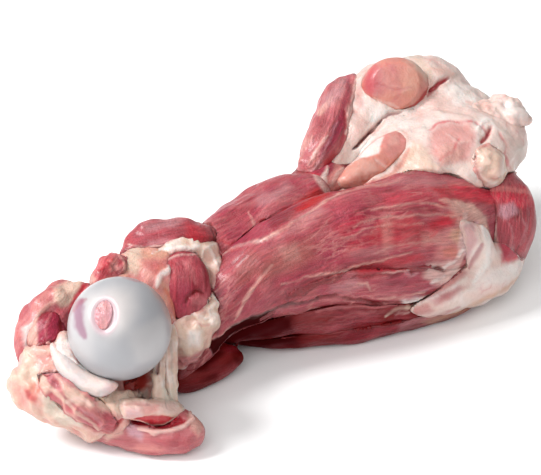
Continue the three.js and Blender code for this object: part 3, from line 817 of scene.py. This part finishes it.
MARKS["middle_bundle"] = [
    # painted shade, darkest toward the hip end, over the bundle's left part
    (SHADE_RED, 0.9, -10, "200,326 262,308 300,312 296,334 250,344 205,352"),
    (CRIMSON, 0.6, -8, "290,314 330,300 346,304 330,330 296,334"),
    (ROSE, 0.6, 5, "316,312 340,306 372,306 398,306", 0.3),
    (ROSE, 0.4, 3, "330,320 352,314 376,312", 0.2),
    (CREAM, 0.8, 3, "386,317 398,311 412,306 430,302", 0.3),
    (BLUSH, 0.5, 2, "396,316 410,312", 0.2),
    # painted shade in the crease along the bundle's top
    (SHADE_RED, 0.8, 3, "262,318 300,308 337,298 372,304 404,304", -0.5),
]
MARKS["lower_bundle"] = [
    # painted shade, darkest toward the hip end, and in the crease along the bundle's top
    (SHADE_RED, 0.95, -12, "210,326 280,318 316,326 300,350 240,354"),
    (CRIMSON, 0.5, -8, "290,332 330,326 340,346 300,350"),
    (SHADE_RED, 0.75, 4, "253,333 303,329 337,321 370,313 390,314", -0.6),
    (ROSE, 0.4, 4, "330,334 362,326 392,320", 0.2),
    (MAUVE, 0.5, -6, "392,320 430,312 450,308 440,320 400,330"),
    (TAN, 0.6, -5, "420,322 460,308 480,300 470,312 434,326"),
]
MARKS["under_muscle"] = [
    (RED, 0.35, -6, "216,372 236,360 246,366 236,384 218,388"),
    # painted shade on the piece under the shaft
    (SHADE_RED, 0.7, -6, "176,350 214,340 226,352 206,372 178,376"),
]
MARKS["top_muscle"] = [
    (DARK, 0.45, -6, "218,222 234,206 250,198 254,210 232,224"),
    # mauve painted sheen on the muscle's top
    (MAUVE, 0.6, -6, "254,198 272,188 290,180 296,188 270,206 256,208"),
    (MEAT, 0.8, -5, "212,224 226,214 252,216 246,238 222,246 214,240"),
    (PLUM, 0.5, -6, "262,212 292,198 306,204 282,222 262,228"),
    (SCARLET, 0.8, -6, "300,198 314,188 328,194 318,204 296,214 280,224 276,216"),
    (CRIMSON, 0.75, 3, "211,222 213,232 214,243", -0.6),
    (RED, 0.5, 4, "218,242 232,244 244,240", -0.2),
    (PALE, 0.4, 2.5, "249,212 254,226 262,234", 0.1),
    (PLUM, 0.5, -5, "224,226 240,222 252,230 244,242 226,242"),
    (ROSE, 0.6, -4, "256,216 270,210 286,206 276,216 262,224"),
    (SCARLET, 0.5, 10, "272,222 292,208 312,198 324,192"),
    (PLUM, 0.4, -8, "284,184 306,176 318,186 300,200"),
    (BLUSH, 0.8, 6, "311,170 317,182 326,196", 0.2),
    (BLUSH, 0.8, 3, "316,172 322,184 329,194", 0.2),
    (ROSE, 0.6, 3, "262,214 272,208 282,206"),
]
MARKS["rear_muscle"] = [
    (PINK, 0.9, -4, "306,164 340,158 352,180 342,198 318,200", 0.2),
    (PLUM, 0.9, -3, "304,160 338,154 334,170 324,180 310,176"),
    (BRIGHT, 0.7, -4, "306,172 318,172 322,186 316,194 304,186"),
    (IVORY_PINK, 0.9, 6, "326,168 322,178 324,190 332,200", 0.5),
    (BLUSH, 0.7, 5, "344,168 336,176 330,186", 0.2),
    (BRIGHT, 0.7, 5, "326,196 344,188 362,184"),
]
MARKS["knee_capsule"] = [
    (ROSE, 0.9, -3, "318,170 338,186 356,183 352,194 330,204 316,196"),
    (WHITE, 0.6, -8, "376,118 410,104 440,96 430,120 400,134", 0.2),
    (CREAM, 0.7, -5, "400,50 424,56 434,70 430,84 420,66 400,56", 0.3),
    (BLUSH, 0.7, -5, "352,72 370,58 392,52 380,60 364,74 360,92", 0.2),
    (PINK, 0.5, -5, "354,88 362,84 366,104 358,120 352,116"),
    (PALE, 0.6, -4, "430,66 446,64 457,74 452,80 436,76", 0.5),
    # painted shade on the knee's right side
    (GREY, 0.6, -8, "512,140 526,142 532,186 516,184"),
    (PALE, 0.5, -8, "500,136 514,138 518,184 504,182"),
    (PINK, 0.75, -7, "428,132 438,122 470,120 478,136 470,162 440,166 428,152"),
    (PALE, 0.5, -4, "436,146 452,142 466,150 456,164 440,164", 0.2),
    (BRIGHT, 0.7, 2, "428,130 438,123 454,121 471,121", -0.2),
    (BRIGHT, 0.5, 2, "440,160 452,150 458,138", -0.1),
    (BLUSH, 0.6, 3, "446,134 458,142 470,140", 0.3),
    (RED, 0.85, 4.5, "481,142 487,136 492,128", -1.4),
    (BRIGHT, 0.6, 2.5, "474,122 484,128 490,134", -0.6),
    (WHITE, 0.7, 4, "476,130 484,122 492,120", 0.6),
    (BRIGHT, 0.5, 2, "498,132 506,142 504,156 510,168", -0.3),
    (RED, 0.95, 6, "432,90 439,83 448,79", -1.8),
    (RED, 0.6, 3, "428,96 433,88", -0.6),
    (WHITE, 0.8, -5, "440,92 452,84 480,100 478,112 456,106", 0.4),
    (BLUSH, 0.7, -5, "404,116 432,96 444,104 420,122", 0.3),
    (PALE, 0.6, 6, "466,104 480,110 492,116"),
    (CREAM, 0.8, -6, "404,150 420,140 440,168 420,178 396,178", 0.2),
    (SALMON, 0.8, 6, "352,186 376,180 392,174 404,160 410,148"),
    (TAN, 0.4, 5, "404,164 414,152 414,142"),
    (BRIGHT, 0.8, 4, "326,198 344,190 364,184 388,180"),
    (WHITE, 0.95, -4, "330,178 352,154 384,124 396,118 384,132 376,140 352,162 338,178", 0.4),
    # painted highlight on the ridge above the slit
    (WHITE, 0.9, -3, "370,112 392,109 386,118 374,124 366,122", 0.3),
    (BLUSH, 0.8, -4, "354,120 366,112 368,124 358,138 350,146", 0.2),
    (ROSE, 0.6, 2, "382,120 390,115 402,111", -0.8),
    (CRIMSON, 0.97, 2.4, "381,121 372,130 362,140 353,149", -2.4),
]


def paint_marks(skin, relief):
    """Paints a piece's marks and adds their heights to its relief."""
    for colour, strength, width, course, *height in MARKS.get(skin.node, []):
        mask = skin.line_mask(course, width) if width > 0 else skin.area_mask(course, -width)
        skin.tint(colour, strength * mask)
        if not MEAT.mean() <= colour.mean() <= MAUVE.mean():
            skin.vein *= 1 - 0.9 * np.clip(strength * mask, 0, 1)
        relief = relief + sum(height) * mask
    return relief


# ---- Materials ----
FIBRES, GRAINS = (0.12, 1.1, 1.1), (0.6, 0.6, 0.6)  # noise along and across the fibres
VEINS, VEIN_WIDTH = (0.1, 0.36, 0.36), 0.07
RED_DEEP = (1.0, 0.35, 0.25)  # red light goes deeper into flesh than green and blue


def new_material(name):
    material = bpy.data.materials.new(name)
    material.use_nodes = True
    return material, material.node_tree, material.node_tree.nodes["Principled BSDF"]


def set_inputs(node, values):
    for key, value in values.items():
        node.inputs[key].default_value = value


def add_node(tree, kind, links, inputs=None, **settings):
    """A shader node with its sockets linked or filled in."""
    node = tree.nodes.new("ShaderNode" + kind)
    for key, value in settings.items():
        setattr(node, key, value)
    set_inputs(node, inputs or {})
    for key, source in links.items():
        tree.links.new(source, node.inputs[key])
    return node


def spread(tree, source, low, high, start=0.3, end=0.7):
    """Maps start to end onto low to high."""
    limits = {"From Min": start, "From Max": end, "To Min": low, "To Max": high}
    return add_node(tree, "MapRange", {"Value": source}, limits).outputs["Result"]


def flesh_material(name, fibrous, contrast, roughness, scatter, coat, bump, specular):
    """Wet flesh: painted colour broken up by fine fibres or grain and pale veins, with a moist coat."""
    material, tree, shader = new_material(name)
    skin = add_node(tree, "Attribute", {}, attribute_name="skin")
    fibre = add_node(tree, "Attribute", {}, attribute_name="fibre").outputs["Vector"]
    stretch = FIBRES if fibrous else GRAINS
    long = add_node(tree, "Mapping", {"Vector": fibre}, {"Scale": stretch}).outputs["Vector"]
    strands = add_node(tree, "TexNoise", {"Vector": long}, {"Scale": 1.0, "Detail": 4.0, "Roughness": 0.6})
    grain = add_node(tree, "TexNoise", {"Vector": fibre}, {"Scale": 1.3, "Detail": 3.0})

    # pale veins run where a stretched noise passes its middle
    net = add_node(tree, "Mapping", {"Vector": fibre}, {"Scale": VEINS}).outputs["Vector"]
    web = add_node(tree, "TexNoise", {"Vector": net}, {"Scale": 1.0, "Detail": 4.0, "Roughness": 0.5})
    middle = add_node(tree, "Math", {0: web.outputs["Fac"]}, {1: 0.5}, operation="SUBTRACT")
    ridge = add_node(tree, "Math", {0: middle.outputs["Value"]}, operation="ABSOLUTE").outputs["Value"]
    near = spread(tree, ridge, 0.6, 0.0, 0.0, VEIN_WIDTH)
    vein = add_node(tree, "Math", {0: near, 1: skin.outputs["Alpha"]}, operation="MULTIPLY").outputs["Value"]

    shade = spread(tree, strands.outputs["Fac"], 1 - contrast, 1 + contrast)
    broken = add_node(tree, "VectorMath", {0: skin.outputs["Color"], "Scale": shade}, operation="SCALE")
    marbled = add_node(tree, "Mix", {}, data_type="RGBA")
    tree.links.new(vein, marbled.inputs["Factor"])
    tree.links.new(broken.outputs["Vector"], marbled.inputs["A"])
    marbled.inputs["B"].default_value = (*PINK, 1)
    tree.links.new(marbled.outputs["Result"], shader.inputs["Base Color"])
    wet = spread(tree, grain.outputs["Fac"], roughness - 0.08, roughness + 0.1)
    tree.links.new(wet, shader.inputs["Roughness"])
    lower = add_node(tree, "Bump", {"Height": strands.outputs["Fac"]},
                     {"Strength": 1.0, "Distance": bump * MM})
    upper = add_node(tree, "Bump", {"Height": grain.outputs["Fac"], "Normal": lower.outputs["Normal"]},
                     {"Strength": 1.0, "Distance": 0.6 * bump * MM})
    tree.links.new(upper.outputs["Normal"], shader.inputs["Normal"])
    set_inputs(shader, {
        "Subsurface Weight": scatter, "Subsurface Radius": RED_DEEP, "Subsurface Scale": 2.5 * MM,
        "Specular IOR Level": specular, "Coat Weight": coat, "Coat Roughness": 0.18,
    })

    # the darkest paint, the painted shade deep in creases and under the shaft, has no gloss
    dull = add_node(tree, "BsdfDiffuse", {"Color": skin.outputs["Color"]})
    grey = add_node(tree, "RGBToBW", {"Color": skin.outputs["Color"]})
    mixed = add_node(tree, "MixShader", {"Fac": spread(tree, grey.outputs["Val"], 1.0, 0.0, 0.012, 0.04)})
    tree.links.new(shader.outputs["BSDF"], mixed.inputs[1])
    tree.links.new(dull.outputs["BSDF"], mixed.inputs[2])
    tree.links.new(mixed.outputs["Shader"], tree.nodes["Material Output"].inputs["Surface"])
    return material


def bone_material():
    """Smooth wet cartilage: painted colour with a faint cloudiness and a soft gloss."""
    material, tree, shader = new_material("bone")
    skin = add_node(tree, "Attribute", {}, attribute_name="skin")
    place = add_node(tree, "TexCoord", {}).outputs["Object"]
    clouds = add_node(tree, "TexNoise", {"Vector": place}, {"Scale": 90, "Detail": 2})
    shade = spread(tree, clouds.outputs["Fac"], 0.95, 1.05, 0, 1)
    cloudy = add_node(tree, "VectorMath", {0: skin.outputs["Color"], "Scale": shade}, operation="SCALE")
    tree.links.new(cloudy.outputs["Vector"], shader.inputs["Base Color"])
    set_inputs(shader, {
        "Roughness": 0.4, "Subsurface Weight": 0.25, "Subsurface Radius": (1.0, 0.9, 0.9),
        "Subsurface Scale": 2 * MM, "Coat Weight": 0.3, "Coat Roughness": 0.25,
    })
    return material


MATERIALS = {"bone": bone_material()}
# fibrous, contrast, roughness, scatter, coat, bump in millimetres, specular level
for name, settings in {
    "gristle": (False, 0.05, 0.36, 0.35, 0.25, 0.3, 0.4),
    "fat": (False, 0.07, 0.4, 0.4, 0.2, 0.35, 0.35),
    "pink": (False, 0.06, 0.4, 0.4, 0.2, 0.2, 0.35),
    "meat": (True, 0.3, 0.4, 0.3, 0.25, 0.6, 0.3),
    "dark_meat": (True, 0.26, 0.42, 0.2, 0.15, 0.5, 0.2),
    "pale_meat": (True, 0.14, 0.4, 0.35, 0.2, 0.4, 0.3),
}.items():
    MATERIALS[name] = flesh_material(name, *settings)


def finish_skin(skin, slot):
    """Stores the painted colours and makes the skin a piece that stands for its node."""
    mesh = skin.mesh
    painted = np.concatenate([skin.rgb, np.clip(skin.vein, 0, 1)[:, None]], 1)
    colour = mesh.attributes.new("skin", "FLOAT_COLOR", "POINT")
    colour.data.foreach_set("color", painted.astype(np.float32).ravel())
    fibre = mesh.attributes.new("fibre", "FLOAT_VECTOR", "POINT")
    fibre.data.foreach_set("vector", skin.fibre.astype(np.float32).ravel())
    mesh.materials.clear()
    mesh.materials.append(MATERIALS[slot])
    mesh.polygons.foreach_set("use_smooth", np.ones(len(mesh.polygons), bool))
    piece = new_object(skin.node + "_skin", mesh)
    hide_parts(skin.node)
    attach(piece, "root")
    return piece


def dress(skin, rank, envelope):
    """Settles a skin among its neighbours, shapes and paints it, and makes it a piece."""
    slot, look, _, _, _, pull, *lumps = SKINS[skin.node]
    skin.settle(envelope, FILL.get(skin.node, 1.0), pull)
    skin.move(LAYER * (len(SKINS) - rank))
    if lumps:
        size, height = lumps
        skin.move(height * noise(skin.co, size, 51))
    if skin.node == "head_ligament":
        flatten_stump(skin)
    if skin.node == "kneecap":
        flatten_face(skin)
    skin.fibre = fibre_coordinates(skin)
    skin.look()
    base_look, *settings = LOOKS[look]
    skin.move(paint_marks(skin, base_look(skin, *settings)))
    return finish_skin(skin, slot)


# ---- The bone: a true ball with its pit ----
PIT = np.array([-94.8, -19.8, 53.0])  # middle of the ligament's pit
PIT_LONG = np.array([-6.0, -6.9, -9.4])  # the way that its longer half runs
PIT_HALF = (7.0, 5.2)  # half length and half width of its rim
RIM_LIFT, PIT_DEPTH = 0.15, 0.8


def flatten_stump(skin):
    """Cuts the ligament's stump off raggedly, just below the ball's surface."""
    away = skin.co - HEAD
    distance = np.linalg.norm(away, axis=1)
    top = HEAD_RADIUS - 0.2 + 0.2 * noise(skin.co, 2.2, 61)
    skin.co = HEAD + away * (np.minimum(distance, top) / distance)[:, None]
    skin.refresh()


def flatten_face(skin, cut=3.2):
    """Presses the dome of the kneecap down to the flat face that the photograph shows."""
    toward = unit(CAMERA - skin.co.mean(0))
    facing = unit(skin.normal[skin.normal @ toward > 0.6].mean(0))
    height = skin.co @ facing
    over = np.maximum(height - (height.max() - cut), 0)
    skin.co -= 0.75 * over[:, None] * facing
    skin.refresh()


def make_bone():
    """The bone's skin, its head pressed to a true ball, with the pit's rim and hollow."""
    skin = Skin("thigh_bone", 0.55, 1.0, 0.0)
    skin.fibre = fibre_coordinates(skin)
    away = skin.co - HEAD
    distance = np.linalg.norm(away, axis=1)
    direction = away / distance[:, None]
    out = unit(PIT - HEAD)
    long = unit(PIT_LONG - (PIT_LONG @ out) * out)
    u, v = away @ long, away @ np.cross(out, long)
    reach = np.hypot(u / PIT_HALF[0], v / PIT_HALF[1])
    front = ease(direction @ out, 0.3, 0.6)
    rim = np.exp(-((reach - 1.15) / 0.35) ** 2)
    height = RIM_LIFT * rim - PIT_DEPTH * (1 - ease(reach, 0.55, 0.95))
    on_ball = ((distance > HEAD_RADIUS - 4) & (away @ BACKWARD > -6))[:, None]
    skin.co = np.where(on_ball, HEAD + direction * (HEAD_RADIUS + height * front)[:, None], skin.co)
    skin.refresh()
    skin.look()
    skin.rgb[:] = PEARL
    skin.tint(PALE, ease(distance, HEAD_RADIUS + 1.5, HEAD_RADIUS + 4))
    skin.tint(WHITE, 0.2 * ease(noise(skin.co, 14, 41), -0.2, 0.9))
    # painted highlight: the ball's upper middle is made lighter
    skin.tint(WHITE, 0.45 * skin.area_mask("92,296 112,284 134,288 140,308 128,332 106,336 94,320", 18))
    skin.tint(WHITE, 0.1 * np.exp(-((reach - 1.2) / 0.4) ** 2) * front)
    skin.tint(LILAC, 0.7 * (1 - ease(reach, 0.7, 1.1)) * front)
    skin.tint(VIOLET, 0.75 * skin.line_mask("82,300 79,312 80,326 85,338", 13))
    skin.tint(PLUM, 0.4 * skin.line_mask("75,310 78,303 86,299", 8))
    skin.tint(TAN, 0.3 * skin.line_mask("150,288 164,302 171,322 171,340", 6))
    skin.tint(ROSE, 0.4 * skin.line_mask("100,277 120,275 140,280", 3))
    skin.vein[:] = 1
    return finish_skin(skin, "bone")


# ---- Stage ----
def make_floor():
    mesh = bpy.data.meshes.new("floor")
    reach = 4.0
    corners = [(-reach, -reach, 0), (reach, -reach, 0), (reach, reach, 0), (-reach, reach, 0)]
    mesh.from_pydata(corners, [], [(0, 1, 2, 3)])
    material, _, shader = new_material("floor")
    set_inputs(shader, {"Base Color": (0.93, 0.93, 0.93, 1), "Roughness": 0.9, "Specular IOR Level": 0.1})
    mesh.materials.append(material)
    floor = new_object("floor", mesh)
    floor.location.z = -0.2 * MM  # just under the part, so that the two share no surface


def make_light(name, place, size, power):
    """A round lamp turned to the part, placed to the right, away from the camera and up, in metres."""
    data = bpy.data.lights.new(name, "AREA")
    data.shape, data.size, data.energy = "DISK", size, power
    lamp = new_object(name, data)
    across, away, up = place
    lamp.location = across * RIGHT - away * np.array([BACKWARD[0], BACKWARD[1], 0]) / math.cos(ELEVATION)
    lamp.location.z = up
    lamp.rotation_euler = (-lamp.location).to_track_quat("-Z", "Y").to_euler()


def make_studio():
    world = bpy.data.worlds.new("studio")
    world.use_nodes = True
    set_inputs(world.node_tree.nodes["Background"], {"Color": (1, 1, 1, 1), "Strength": 0.5})
    bpy.context.scene.world = world
    bpy.context.scene.view_settings.view_transform = "Standard"
    make_light("key", (-0.9, -0.1, 1.0), size=0.6, power=23)
    make_light("front", (-0.25, -1.2, 1.1), size=1.6, power=15)


make_camera()
make_floor()
make_studio()
make_bone()
skins = [Skin(node, *settings[2:5]) for node, settings in SKINS.items()]
envelope = envelope_of(skins)
for rank, skin in enumerate(skins):
    dress(skin, rank, envelope)
